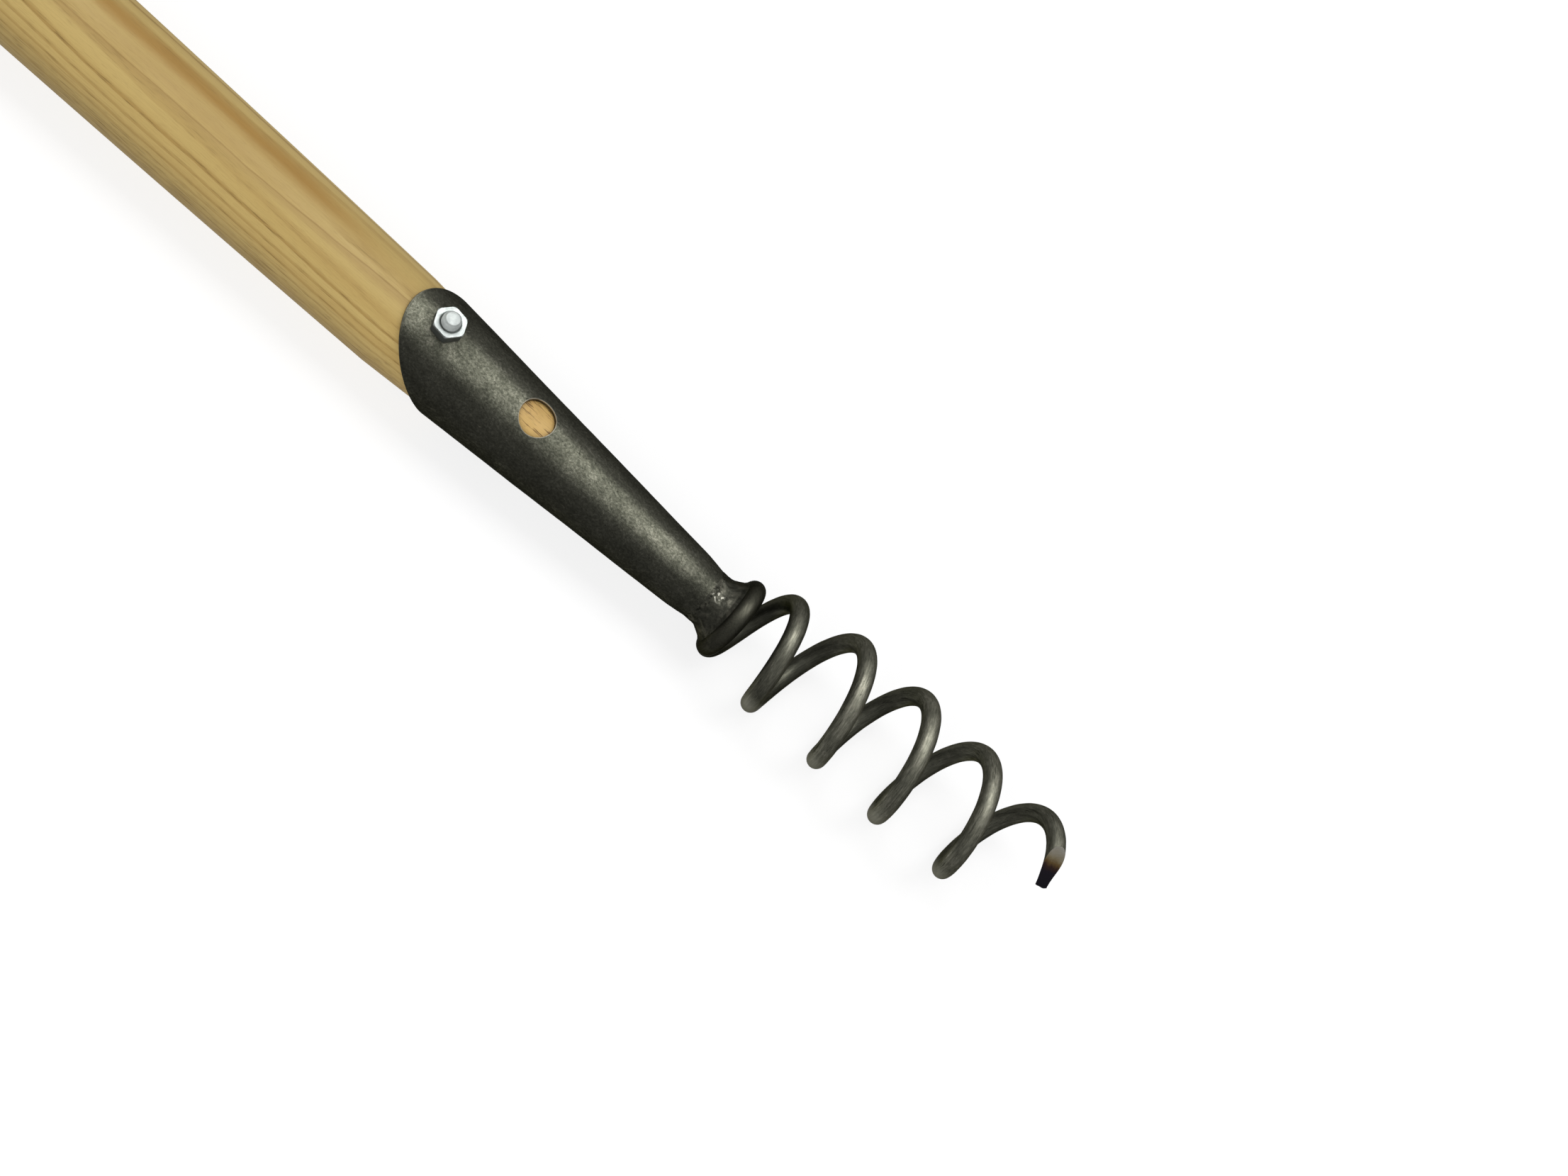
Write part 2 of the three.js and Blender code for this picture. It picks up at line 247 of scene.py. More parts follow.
def block(name, corner_low, corner_high):
    """A box tool for carving."""
    (x0, y0, z0), (x1, y1, z1) = corner_low, corner_high
    base = [(x0, y0), (x1, y0), (x1, y1), (x0, y1)]
    middle = ((x0 + x1) / 2, (y0 + y1) / 2)
    rings = [[(*middle, z0)], [(*p, z0) for p in base], [(*p, z1) for p in base], [(*middle, z1)]]
    return make(name, rings, [], sharp=10)


def spaced(start, end, count):
    return [start + (end - start) * i / count for i in range(count + 1)]


def lump(point, scale, seed=0.0):
    """Smooth noise from -1 to 1 at a point in millimetres."""
    return noise.noise(Vector(point) * scale + Vector((seed, seed * 1.7, -seed)))


# ---- material helpers ---------------------------------------------------------------------------
class Graph:
    """The nodes of one material, ending in its Principled shader."""

    def __init__(self, name, **fixed):
        self.material = bpy.data.materials.new(name)
        self.material.use_nodes = True
        self.tree = self.material.node_tree
        self.shader = self.tree.nodes["Principled BSDF"]
        for key, value in fixed.items():
            self.shader.inputs[key.replace("_", " ")].default_value = value

    def node(self, kind, **settings):
        made = self.tree.nodes.new("ShaderNode" + kind)
        for key, value in settings.items():
            setattr(made, key, value)
        return made

    def feed(self, socket, value):
        if isinstance(value, bpy.types.NodeSocket):
            self.tree.links.new(value, socket)
        else:
            socket.default_value = value

    def out(self, key, value):
        self.feed(self.shader.inputs[key], value)

    def math(self, operation, *values):
        made = self.node("Math", operation=operation)
        for socket, value in zip(made.inputs, values):
            self.feed(socket, value)
        return made.outputs[0]

    def vector(self, operation, *values):
        made = self.node("VectorMath", operation=operation)
        for socket, value in zip(made.inputs, values):
            self.feed(socket, value)
        return made.outputs["Value" if operation in ("DOT_PRODUCT", "LENGTH") else "Vector"]

    def place(self):
        """The point in millimetres about the shaft axis."""
        source = self.node("TexCoord").outputs["Object"]
        return self.vector("MULTIPLY_ADD", source, (1 / MM,) * 3, tuple(-ORIGIN / MM))

    def attribute(self, name, output="Vector"):
        return self.node("Attribute", attribute_name=name).outputs[output]

    def dot(self, vector, direction):
        return self.vector("DOT_PRODUCT", vector, tuple(direction))

    def join(self, x, y, z):
        made = self.node("CombineXYZ")
        for socket, value in zip(made.inputs, (x, y, z)):
            self.feed(socket, value)
        return made.outputs[0]

    def split(self, vector):
        made = self.node("SeparateXYZ")
        self.feed(made.inputs[0], vector)
        return made.outputs[:3]

    def noise(self, vector, stretch=(1, 1, 1), detail=2.0, rough=0.5, offset=(0, 0, 0)):
        """Noise from 0 to 1; stretch is its frequency along each axis."""
        moved = self.vector("MULTIPLY_ADD", vector, stretch, offset)
        made = self.node("TexNoise")
        self.feed(made.inputs["Vector"], moved)
        made.inputs["Scale"].default_value = 1
        made.inputs["Detail"].default_value = detail
        made.inputs["Roughness"].default_value = rough
        return made.outputs["Fac"]

    def between(self, value, low, high, out_low=0.0, out_high=1.0):
        made = self.node("MapRange", interpolation_type="SMOOTHSTEP")
        for key, number in (("Value", value), ("From Min", low), ("From Max", high),
                            ("To Min", out_low), ("To Max", out_high)):
            self.feed(made.inputs[key], number)
        return made.outputs["Result"]

    def ramp(self, value, stops, interpolation="LINEAR"):
        """A colour by value, from (position, sRGB colour) stops."""
        made = self.node("ValToRGB")
        made.color_ramp.interpolation = interpolation
        elements = made.color_ramp.elements
        while len(elements) < len(stops):
            elements.new(0.5)
        for element, (position, colour) in zip(elements, stops):
            element.position = position
            element.color = paint(colour)
        self.feed(made.inputs[0], value)
        return made.outputs["Color"]

    def mix(self, share, a, b):
        made = self.node("Mix", data_type="RGBA")
        for socket, value in ((made.inputs["Factor"], share), (made.inputs[6], a),
                              (made.inputs[7], b)):
            self.feed(socket, paint(value) if isinstance(value, tuple) else value)
        return made.outputs[2]

    def bump(self, height, distance):
        """Height from 0 to 1 stands for a distance in millimetres."""
        made = self.node("Bump")
        made.inputs["Strength"].default_value = 1.0
        made.inputs["Distance"].default_value = distance * MM
        self.feed(made.inputs["Height"], height)
        self.out("Normal", made.outputs[0])


def paint(colour):
    """An sRGB colour of 0 to 255 as the linear colour that shaders take."""
    linear = [c / 255 / 12.92 if c <= 10 else ((c / 255 + 0.055) / 1.055) ** 2.4
              for c in colour[:3]]
    return (*linear, 1.0)


# ---- wood ---------------------------------------------------------------------------------------
def wood(name, along, radial, pith, spacing, shift, tones, offset=0.0, shaft=False):
    """Ash: growth rings about a pith that lies `pith` millimetres behind, with bands of pores.

    `shift` says how far the rings are moved at each station, as a ramp of greys.
    """
    late, early, pore, brown = tones
    g = Graph(name, Specular_IOR_Level=0.22)
    across = Vector(along).cross(Vector(radial))
    p = g.place()
    a, q, t = (g.dot(p, d) for d in (along, radial, across))
    grain = g.join(a, t, q)
    wander = g.noise(grain, (0.007, 0.035, 0.035), 1.5, 0.4, (offset, 3, 8))
    wander = g.math("MULTIPLY", wander, 5.0)
    ripple = g.math("MULTIPLY", g.noise(grain, (0.05, 0.3, 0.3), 2.0, 0.5, (7, offset, 2)), 0.6)
    reach = g.math("ADD", q, pith)
    depth = g.math("ADD", g.math("MULTIPLY", reach, reach), g.math("MULTIPLY", t, t))
    depth = g.math("SQRT", depth)
    slope = g.ramp(g.math("MULTIPLY_ADD", a, 1 / 900, 900 / 900), shift, "B_SPLINE")
    depth = g.math("ADD", depth, g.math("ADD", wander, ripple))
    depth = g.math("MULTIPLY_ADD", g.split(slope)[0], 100.0, depth)
    rings = g.math("MULTIPLY_ADD", depth, 1 / spacing, offset)
    phase = g.math("FRACT", rings)
    number = g.math("FLOOR", rings)
    chance = g.node("TexWhiteNoise", noise_dimensions="1D")
    g.feed(chance.inputs["W"], number)
    weight = g.between(chance.outputs["Value"], 0, 1, 0.35, 1.0)
    rise = g.between(phase, 0.0, 0.06)
    fall = g.between(phase, 0.16, 0.46, 1.0, 0.0)
    band = g.math("MULTIPLY", g.math("MULTIPLY", rise, fall), weight)
    # pores run as short dashes along the grain, closest in the band
    dash = g.between(g.noise(grain, (0.13, 3.0, 3.0), 2.0, 0.6, (offset, 0, 0)), 0.53, 0.68)
    fine = g.between(g.noise(grain, (0.3, 6.0, 6.0), 1.0, 0.5, (0, offset, 0)), 0.56, 0.72)
    pores = g.math("MULTIPLY", dash, g.math("MULTIPLY_ADD", band, 0.8, 0.1))
    if shaft:
        low = g.between(g.dot(p, SIDE), -16.0, -8.0, 0.9, 0.0)
        pores = g.math("MAXIMUM", pores, g.math("MULTIPLY", dash, low))
    fibre = g.noise(grain, (0.03, 3.0, 3.0), 3.0, 0.7, (4, 4, offset))
    cloud = g.noise(grain, (0.004, 0.09, 0.09), 2.0, 0.5, (offset, 9, 1))
    colour = g.mix(g.between(cloud, 0.35, 0.68), late, brown)
    colour = g.mix(g.math("MULTIPLY", band, 0.7), colour, early)
    if shaft:
        colour = shaft_figure(g, p, a, colour)
    colour = g.mix(g.math("MULTIPLY", pores, 0.6), colour, pore)
    colour = g.mix(g.math("MULTIPLY", fine, 0.16), colour, pore)
    light = g.between(fibre, 0.25, 0.75, 0.0, 1.0)
    colour = g.mix(g.math("MULTIPLY", light, 0.10), colour, (120, 96, 52))
    g.out("Base Color", colour)
    g.out("Roughness", g.between(fibre, 0.2, 0.8, 0.42, 0.62))
    g.bump(g.math("SUBTRACT", g.math("MULTIPLY", fibre, 0.25), pores), 0.06)
    return g.material


def shaft_figure(g, p, a, colour):
    """A dark ring line, a brown streak and an olive stain with painted shade on the lower-left
    flank, all along the shaft's grain.
    """
    side, front = g.dot(p, SIDE), g.dot(p, TOWARDS)
    drift = g.noise(p, (0.03, 0.2, 0.2), 3.0, 0.6)
    facing = g.between(front, 2, 7)
    reach = g.between(a, -640.0, -430.0, 0.0, 1.0)

    bend = g.math("MULTIPLY", g.math("MAXIMUM", g.math("ADD", a, 275.0), 0.0), 0.05)
    line = g.math("SUBTRACT", side, g.math("ADD", bend, 2.7))
    line = g.math("SUBTRACT", line, g.math("MULTIPLY", drift, 1.6))
    thin = g.math("MULTIPLY", g.between(line, -0.1, 0.1), g.between(line, 0.15, 0.6, 1.0, 0.0))
    soft = g.math("MULTIPLY", g.between(line, -3.4, -0.4), g.between(line, -0.1, 0.3, 1.0, 0.0))
    line = g.math("MULTIPLY", g.math("MAXIMUM", thin, g.math("MULTIPLY", soft, 0.45)), facing)
    line = g.math("MULTIPLY", line, reach)
    colour = g.mix(g.math("MULTIPLY", line, 0.6), colour, (146, 112, 62))

    away = g.math("ABSOLUTE", g.math("SUBTRACT", side, 12.3))
    away = g.math("MULTIPLY_ADD", drift, -3.4, g.math("ADD", away, 1.7))
    streak = g.math("MULTIPLY", g.between(away, 0.0, 3.6, 1.0, 0.0), facing)
    streak = g.math("MULTIPLY", streak, g.between(a, -262.0, -222.0, 1.0, 0.0))
    streak = g.math("MULTIPLY", streak, reach)
    colour = g.mix(g.math("MULTIPLY", streak, 0.72), colour, (160, 117, 52))

    # the lower-left flank is mixed darker and more olive: an olive stain with painted shade
    flank = g.math("MULTIPLY", g.between(side, -18.0, -9.0, 1.0, 0.0), reach)
    colour = g.mix(g.math("MULTIPLY", flank, 0.62), colour, (126, 106, 58))

    # inside the sight hole the wood is warmer, with dark brown stains along the grain
    x, y, z = g.split(p)
    near = g.vector("LENGTH", g.join(g.math("SUBTRACT", x, HOLE_X), g.math("ADD", y, 0.4), 0.0))
    near = g.math("MULTIPLY", g.between(near, 7.0, 6.0), g.between(z, 4.0, 8.0))
    colour = g.mix(g.math("MULTIPLY", near, 0.6), colour, (224, 182, 112))
    stain = g.between(g.noise(p, (0.09, 1.5, 1.5), 3.0, 0.65, offset=(3, 1, 4)), 0.55, 0.66)
    return g.mix(g.math("MULTIPLY", g.math("MULTIPLY", stain, near), 0.85), colour, (96, 56, 22))


# rings slope one way under the grip and the other way near the socket
SHAFT_SHIFT = [(0.0, (96,) * 3), (0.12, (120,) * 3), (0.22, (104,) * 3), (0.42, (60,) * 3),
               (0.6, (52,) * 3), (1.0, (94,) * 3)]
LEVEL = [(0.0, (40,) * 3), (1.0, (40,) * 3)]
# each wood's late and early growth, its pores and its browner clouds
PLAIN_ASH = ((197, 171, 108), (160, 127, 68), (104, 76, 38), (184, 155, 93))
GREY_ASH = ((186, 169, 116), (152, 130, 78), (112, 89, 48), (172, 153, 100))
BROWN_ASH = ((176, 148, 98), (146, 114, 68), (96, 70, 38), (164, 134, 84))

face = math.radians(5)
shaft_ash = wood("ash_shaft", (1, 0, 0), (0, math.sin(face), math.cos(face)), 62.0, 2.3,
                 SHAFT_SHIFT, PLAIN_ASH, offset=0.35, shaft=True)
grip_ash = wood("ash_grip", (0, 1, 0), (1, 0, 0.12), 160.0 - GRIP_X, 1.7, LEVEL, GREY_ASH,
                offset=5.3)
wedge_ash = wood("ash_wedge", (1, 0, 0), (0, 0, 1), 80.0, 1.4, LEVEL, BROWN_ASH, offset=2.1)


# ---- steel --------------------------------------------------------------------------------------
OILY = (120, 120, 112)      # the tint of black steel's reflections


def hairlines(g, p, degrees, seed):
    """Sparse fine scratches that run at an angle to the shaft's axis."""
    turn = math.radians(degrees)
    x, side = g.split(p)[0], g.dot(p, SIDE)
    along = g.math("MULTIPLY_ADD", x, math.cos(turn), g.math("MULTIPLY", side, math.sin(turn)))
    across = g.math("MULTIPLY_ADD", x, -math.sin(turn), g.math("MULTIPLY", side, math.cos(turn)))
    plane = g.join(along, across, 0.0)
    line = g.noise(plane, (0.03, 0.7, 0), 0.0, 0.4, offset=(seed, 3, seed))
    where = g.noise(plane, (0.22, 0.6, 0), 0.0, 0.4, offset=(1, seed, 5))
    ridge = g.between(g.math("ABSOLUTE", g.math("SUBTRACT", line, 0.5)), 0.002, 0.008, 1.0, 0.0)
    return g.math("MULTIPLY", ridge, g.between(where, 0.72, 0.80))


def scaled_steel(name):
    """Oily black forging scale, mottled, with fine pits, short scratches, worn edges and a painted
    highlight.
    """
    g = Graph(name, Metallic=1.0, Specular_Tint=paint(OILY))
    p = g.place()
    cloud = g.noise(p, (0.05, 0.12, 0.12), 4.0, 0.62)
    blotch = g.noise(p, (0.20, 0.26, 0.26), 3.0, 0.6, offset=(5, 1, 3))
    grit = g.noise(p, (1.1, 1.3, 1.3), 5.0, 0.78, offset=(1, 8, 2))
    speck = g.noise(p, (1.0, 1.2, 1.2), 3.0, 0.7, offset=(6, 2, 4))
    tone = g.math("MULTIPLY_ADD", grit, 0.62, g.math("MULTIPLY_ADD", blotch, 0.2,
                                                     g.math("MULTIPLY", cloud, 0.18)))
    front = g.dot(p, TOWARDS)
    side = g.dot(p, SIDE)
    x, y, z = g.split(p)
    # painted highlight: where bearing meets the key lamp's reflection, the front goes from the
    # dull to the bright tones, less so near the neck
    bearing = g.math("DIVIDE", side, g.math("MAXIMUM", front, 1.0))
    rubbed_and_sheen = g.math("MULTIPLY", g.between(bearing, -0.25, 0.22),
                    g.between(bearing, 0.5, 0.9, 1.0, 0.0))
    rubbed_and_sheen = g.math("MULTIPLY", rubbed_and_sheen, g.between(front, 4.0, 8.0))
    rubbed_and_sheen = g.math("MULTIPLY", rubbed_and_sheen, g.between(x, -108.0, -94.0, 1.0, 0.5))
    dull = g.ramp(tone, [(0.40, (64, 64, 57)), (0.48, (76, 76, 67)), (0.54, (86, 86, 77)),
                         (0.62, (108, 107, 96))])
    bright = g.ramp(tone, [(0.40, (82, 83, 73)), (0.47, (104, 105, 92)), (0.53, (124, 125, 110)),
                           (0.61, (162, 161, 145))])
    colour = g.mix(rubbed_and_sheen, dull, bright)
    pits = g.between(speck, 0.30, 0.38, 1.0, 0.0)
    colour = g.mix(g.math("MULTIPLY", pits, 0.45), colour, (40, 40, 35))
    marks = g.math("MAXIMUM", hairlines(g, p, 38, 2.0), hairlines(g, p, -24, 7.0))
    marks = g.math("MAXIMUM", marks, hairlines(g, p, 83, 4.0))
    colour = g.mix(g.math("MULTIPLY", marks, 0.45), colour, (180, 175, 160))
    # the sight hole's rim and the mouth are rubbed bright, and the hole's wall is painted dark as
    # shade
    away = g.vector("LENGTH", g.join(g.math("SUBTRACT", x, HOLE_X),
                                     g.math("ADD", y, HOLE_LEAN), 0.0))
    rim = g.math("MULTIPLY", g.between(away, 6.4, 6.1), g.between(away, 5.95, 6.03))
    rim = g.math("MULTIPLY", rim, g.between(z, 5.0, 8.0))
    edge = g.attribute("rim", "Fac")
    patchy = g.between(blotch, 0.3, 0.6, 0.35, 1.0)
    edge, rim = g.math("MULTIPLY", edge, patchy), g.math("MULTIPLY", rim, patchy)
    colour = g.mix(g.math("MULTIPLY", edge, 0.8), colour, (150, 146, 130))
    colour = g.mix(g.math("MULTIPLY", rim, 0.9), colour, (232, 228, 214))
    # painted shade on the sight hole's wall
    hole_wall_shade = g.math("MULTIPLY", g.between(away, 5.98, 6.03, 1.0, 0.0), g.between(z, 5.0, 8.0))
    colour = g.mix(hole_wall_shade, colour, (44, 34, 26))
    g.out("Base Color", colour)
    rough = g.between(blotch, 0.3, 0.72, 0.55, 0.42)
    g.out("Roughness", g.math("MULTIPLY_ADD", pits, 0.15, rough))
    height = g.math("MULTIPLY_ADD", blotch, 0.8, g.math("MULTIPLY", grit, 0.75))
    g.bump(g.math("SUBTRACT", height, g.math("MULTIPLY", pits, 0.25)), 0.2)
    return g.material


def drawn_steel(name):
    """Dark drawn rod, worn along its outside, paler to the point, smooth on the closed turn, with
    a painted reflection on its lower-left crests.
    """
    g = Graph(name, Metallic=1.0, Specular_Tint=paint((130, 130, 122)))
    p, s = g.place(), g.attribute("strand")
    out, side = g.split(s)[1:]
    x = g.split(p)[0]
    line = g.noise(s, (0.07, 2.2, 2.2), 4.0, 0.75)
    grain = g.noise(s, (0.45, 1.7, 1.7), 4.0, 0.75, offset=(1, 7, 3))
    streak = g.noise(s, (0.10, 1.0, 1.0), 3.0, 0.65, offset=(4, 4, 4))
    cloud = g.noise(p, (0.08, 0.08, 0.08), 3.0, 0.6, offset=(9, 1, 2))
    speck = g.noise(s, (1.0, 2.0, 2.0), 3.0, 0.7, offset=(2, 6, 6))
    tone = g.math("MULTIPLY_ADD", grain, 0.42, g.math("MULTIPLY_ADD", line, 0.33,
                                                      g.math("MULTIPLY", cloud, 0.25)))
    colour = g.ramp(tone, [(0.36, (92, 92, 82)), (0.46, (122, 122, 109)), (0.54, (148, 147, 132)),
                           (0.64, (190, 187, 171))])
    # the rod's outside is worn paler and its inside stays darker
    rubbed_and_sheen = g.between(out, -1.5, 2.6)
    colour = g.mix(g.math("MULTIPLY", g.math("SUBTRACT", 1.0, rubbed_and_sheen), 0.55), colour, (68, 69, 60))
    black = g.math("MULTIPLY", g.between(streak, 0.57, 0.66), g.between(side, -2.0, 2.5, 0.2, 1.0))
    pits = g.math("MAXIMUM", black, g.between(speck, 0.28, 0.38, 1.0, 0.0))
    pits = g.math("MULTIPLY", pits, g.between(x, -66.0, -30.0, 0.0, 1.0))
    colour = g.mix(g.math("MULTIPLY", pits, 0.6), colour, (40, 40, 34))
    sooty = g.between(x, -64.0, -25.0, 0.28, 0.0)
    colour = g.mix(sooty, colour, (44, 44, 38))
    # painted reflection: the coil's crests on the lower left are painted pale, as if mirroring
    # bright surroundings
    painted_crest_reflection = g.between(g.dot(p, SIDE), -12.5, -18.0)
    colour = g.mix(g.math("MULTIPLY", painted_crest_reflection, 0.62), colour, (196, 195, 181))
    closed = g.between(x, -71.0, -67.0, 1.0, 0.0)
    colour = g.mix(closed, colour, g.ramp(tone, [(0.40, (64, 64, 56)), (0.62, (92, 91, 80))]))
    g.out("Base Color", colour)
    g.out("Roughness", g.math("MULTIPLY_ADD", pits, 0.15, g.between(line, 0.3, 0.7, 0.49, 0.37)))
    height = g.math("SUBTRACT", g.math("MULTIPLY_ADD", line, 0.4, g.math("MULTIPLY", grain, 0.4)),
                    g.math("MULTIPLY", pits, 0.5))
    g.bump(g.math("MULTIPLY", height, g.math("SUBTRACT", 1.0, closed)), 0.06)
    return g.material


def ground_steel(name):
    """The facet ground on the point, with the colours that the heat of grinding left."""
    g = Graph(name, Metallic=1.0, Specular_Tint=paint((190, 190, 185)))
    s = g.attribute("strand")
    brush = g.noise(s, (0.9, 9.0, 9.0), 3.0, 0.7)
    wave = g.noise(s, (0.3, 0.5, 0.5), 2.0, 0.5)
    far = g.math("MULTIPLY_ADD", wave, 2.2, g.split(s)[0])      # millimetres from the tip
    colour = g.ramp(g.math("MULTIPLY", far, 1 / 16), [
        (0.0, (38, 38, 46)), (0.44, (46, 42, 52)), (0.54, (76, 56, 50)), (0.62, (134, 108, 68)),
        (0.72, (172, 158, 126)), (0.9, (204, 200, 188)), (1.0, (214, 212, 202))])
    colour = g.mix(g.between(brush, 0.35, 0.7, 0.0, 0.3), colour, (60, 58, 52))
    g.out("Base Color", colour)
    g.out("Roughness", g.between(brush, 0.3, 0.7, 0.40, 0.26))
    g.bump(brush, 0.03)
    return g.material


def weld_steel(name):
    """Black satin weld with dark cracks where it meets the socket and a spot of painted glints."""
    g = Graph(name, Metallic=1.0, Specular_Tint=paint(OILY))
    p = g.place()
    x, side = g.split(p)[0], g.dot(p, SIDE)
    blotch = g.noise(p, (0.4, 0.5, 0.5), 4.0, 0.7)
    speck = g.noise(p, (1.3, 1.3, 1.3), 1.0, 0.5)
    colour = g.ramp(blotch, [(0.36, (62, 62, 55)), (0.5, (82, 82, 73)), (0.64, (108, 106, 95))])
    joint = g.math("MULTIPLY", g.between(x, -88.5, -87.0), g.between(x, -86.5, -84.5, 1.0, 0.0))
    crack = g.math("MULTIPLY", g.between(speck, 0.36, 0.44, 1.0, 0.0), joint)
    colour = g.mix(g.math("MULTIPLY", crack, 0.8), colour, (26, 26, 22))
    # painted glints: small bright spots in a band where the key lamp's highlight falls
    painted_glints = g.math("MULTIPLY", g.between(x, -87.5, -86.0), g.between(x, -84.0, -82.0, 1.0, 0.0))
    aside = g.math("ABSOLUTE", g.math("SUBTRACT", side, 2.6))
    painted_glints = g.math("MULTIPLY", painted_glints, g.between(aside, 0.8, 2.2, 1.0, 0.0))
    painted_glints = g.math("MULTIPLY", painted_glints, g.between(speck, 0.60, 0.66))
    colour = g.mix(painted_glints, colour, (186, 184, 172))
    g.out("Base Color", colour)
    g.out("Roughness", g.between(blotch, 0.3, 0.7, 0.50, 0.36))
    g.bump(g.math("MULTIPLY_ADD", blotch, 0.6, g.math("MULTIPLY", speck, 0.15)), 0.1)
    return g.material


def zinc(name, seed, metal, unshaded_above):
    """Bright zinc plate, clouded and handled, and painted dark as shade below a height above the
    shaft's axis.
    """
    g = Graph(name, Metallic=metal)
    p = g.place()
    cloud = g.noise(p, (0.5, 0.5, 0.5), 4.0, 0.65, offset=(seed, 0, 0))
    mark = g.noise(p, (6.0, 1.5, 4.0), 2.0, 0.6, offset=(0, seed, 0))
    colour = g.ramp(cloud, [(0.3, (172, 178, 176)), (0.55, (192, 198, 195)),
                            (0.75, (208, 212, 208))])
    colour = g.mix(g.between(mark, 0.60, 0.75, 0.0, 0.35), colour, (150, 154, 150))
    # painted shade: below this height, as on the nut's sides, the colour is darkened for shade and
    # the dark socket's reflection
    painted_shade = g.between(g.split(p)[2], unshaded_above - 1.2, unshaded_above, 1.0, 0.0)
    colour = g.mix(g.math("MULTIPLY", painted_shade, 0.85), colour, (74, 76, 72))
    g.out("Base Color", colour)
    g.out("Roughness", g.between(cloud, 0.3, 0.7, 0.46, 0.32))
    g.bump(g.math("MULTIPLY_ADD", cloud, 0.6, g.math("MULTIPLY", mark, 0.2)), 0.03)
    return g.material


scale = scaled_steel("scaled_steel")
rod_steel = drawn_steel("rod_steel")
ground = ground_steel("ground_steel")
weld = weld_steel("weld_steel")
bolt_zinc = zinc("zinc_bolt", 1.0, 0.3, SEAT + NUT_HEIGHT)
nut_zinc = zinc("zinc_nut", 6.0, 0.8, SEAT + NUT_HEIGHT - 0.2)


# ---- grip, shaft and wedge ----------------------------------------------------------------------
def build_grip():
    straight = GRIP_HALF - GRIP_ROUNDING

    def barrel(y):
        return GRIP_R - (GRIP_R - GRIP_END_R) * (y / GRIP_HALF) ** 2

    side = [(y, barrel(y)) for y in spaced(0, straight, 56)]
    for turn in spaced(0, 90, 10)[1:]:
        t = math.radians(turn)
        side.append((straight + GRIP_ROUNDING * math.sin(t),
                     barrel(straight) - GRIP_ROUNDING * (1 - math.cos(t))))
    inner = side[-1][1]
    side += [(GRIP_HALF, inner * share) for share in (0.75, 0.5, 0.25)] + [(GRIP_HALF, 0)]
    profile = [(-y, r) for y, r in reversed(side[1:])] + side
    grip = turned("t_grip", profile, WOOD_SIDES, [grip_ash], axis="Y", centre=(GRIP_X, 0, 0),
                  sharp=40)
    bore = drill("bore", GRIP_X - THROUGH, GRIP_X + THROUGH, TENON_R + GAP, 96)
    recess = drill("recess", SHOULDER_X, SHOULDER_X + THROUGH, SHAFT_R + GAP, WOOD_SIDES)
    carve(grip, [bore, recess], sharp=40)
    return grip


def build_shaft():
    shoulder = SHOULDER_X + GAP
    taper_start, end = -362.0, -106.0
    edge = 0.3
    profile = [(TENON_END_X, 0), (TENON_END_X, TENON_R * 0.5), (TENON_END_X, TENON_R - edge),
               (TENON_END_X + edge, TENON_R), (shoulder, TENON_R), (shoulder, SHAFT_R)]
    profile += [(x, SHAFT_R) for x in spaced(shoulder, taper_start, 70)[1:]]
    mouth = shaft_in_socket(TONGUE_X)
    for s in spaced(0, 1, 40)[1:]:
        ease = 0.35 * s + 0.65 * s * s
        profile.append((taper_start + (TONGUE_X - taper_start) * s,
                        SHAFT_R + (mouth - SHAFT_R) * ease))
    profile += [(x, shaft_in_socket(x)) for x in spaced(TONGUE_X, end - 3, 30)[1:]]
    profile += [(end, shaft_in_socket(end) - 2), (end, 0)]
    shaft = turned("shaft", profile, WOOD_SIDES, [shaft_ash], sharp=40)
    reach = SHAFT_R - BEVEL
    tools = []
    for side in (1, -1):
        # a wedge whose lower face slopes at 45 degrees, away from the shoulder
        far = 20
        base = [(shoulder - far, reach - far), (shoulder + far, reach + far),
                (shoulder - far, reach + far)]
        low, high = ([(x, y, side * z) for x, z in base] for y in (-THROUGH, THROUGH))
        centre = [sum(c) / 3 for c in zip(*low)]
        ends = [[tuple(centre)], [(centre[0], THROUGH, centre[2])]]
        tools.append(make("bevel", [ends[0], low, high, ends[1]], [], sharp=10))
    half = BOLT_R + GAP
    hole = drill("hole", -THROUGH, THROUGH, half, 48, axis="Z", centre=(BOLT_X, 0, 0))
    slot = block("slot", (GRIP_X - GRIP_R - 2, -THROUGH, -WEDGE / 2 - GAP),
                 (GRIP_X - GRIP_R + 24, THROUGH, WEDGE / 2 + GAP))
    square = block("square", (BOLT_X - half, -half, -THROUGH),
                   (BOLT_X + half, half, SQUARE_TOP + GAP))
    carve(shaft, [*tools, hole, square, slot], sharp=30)
    return shaft


def build_wedge():
    long, narrowing = 21, 0.9
    half = TENON_R - 1.2
    rings = []
    for s in spaced(0, 1, 12):
        x = TENON_END_X + long * s
        z = WEDGE / 2 - narrowing * s
        r = 0.4 if s > 0 else 0.7       # how much its edges are broken
        rings.append([(x, -half + r, -z), (x, half - r, -z), (x, half, -z + r), (x, half, z - r),
                      (x, half - r, z), (x, -half + r, z), (x, -half, z - r), (x, -half, -z + r)])
    rings = [[(TENON_END_X, 0, 0)], *rings, [(TENON_END_X + long, 0, 0)]]
    return make("tenon_wedge", rings, [wedge_ash], sharp=25)


# ---- socket, weld and corkscrew -----------------------------------------------------------------
def mouth_x(angle):
    """Station of the socket's mouth; the angle is from +Z."""
    fall = 1 - math.cos(angle)
    return TONGUE_X + 22.5 * fall - 4.0 * fall * fall


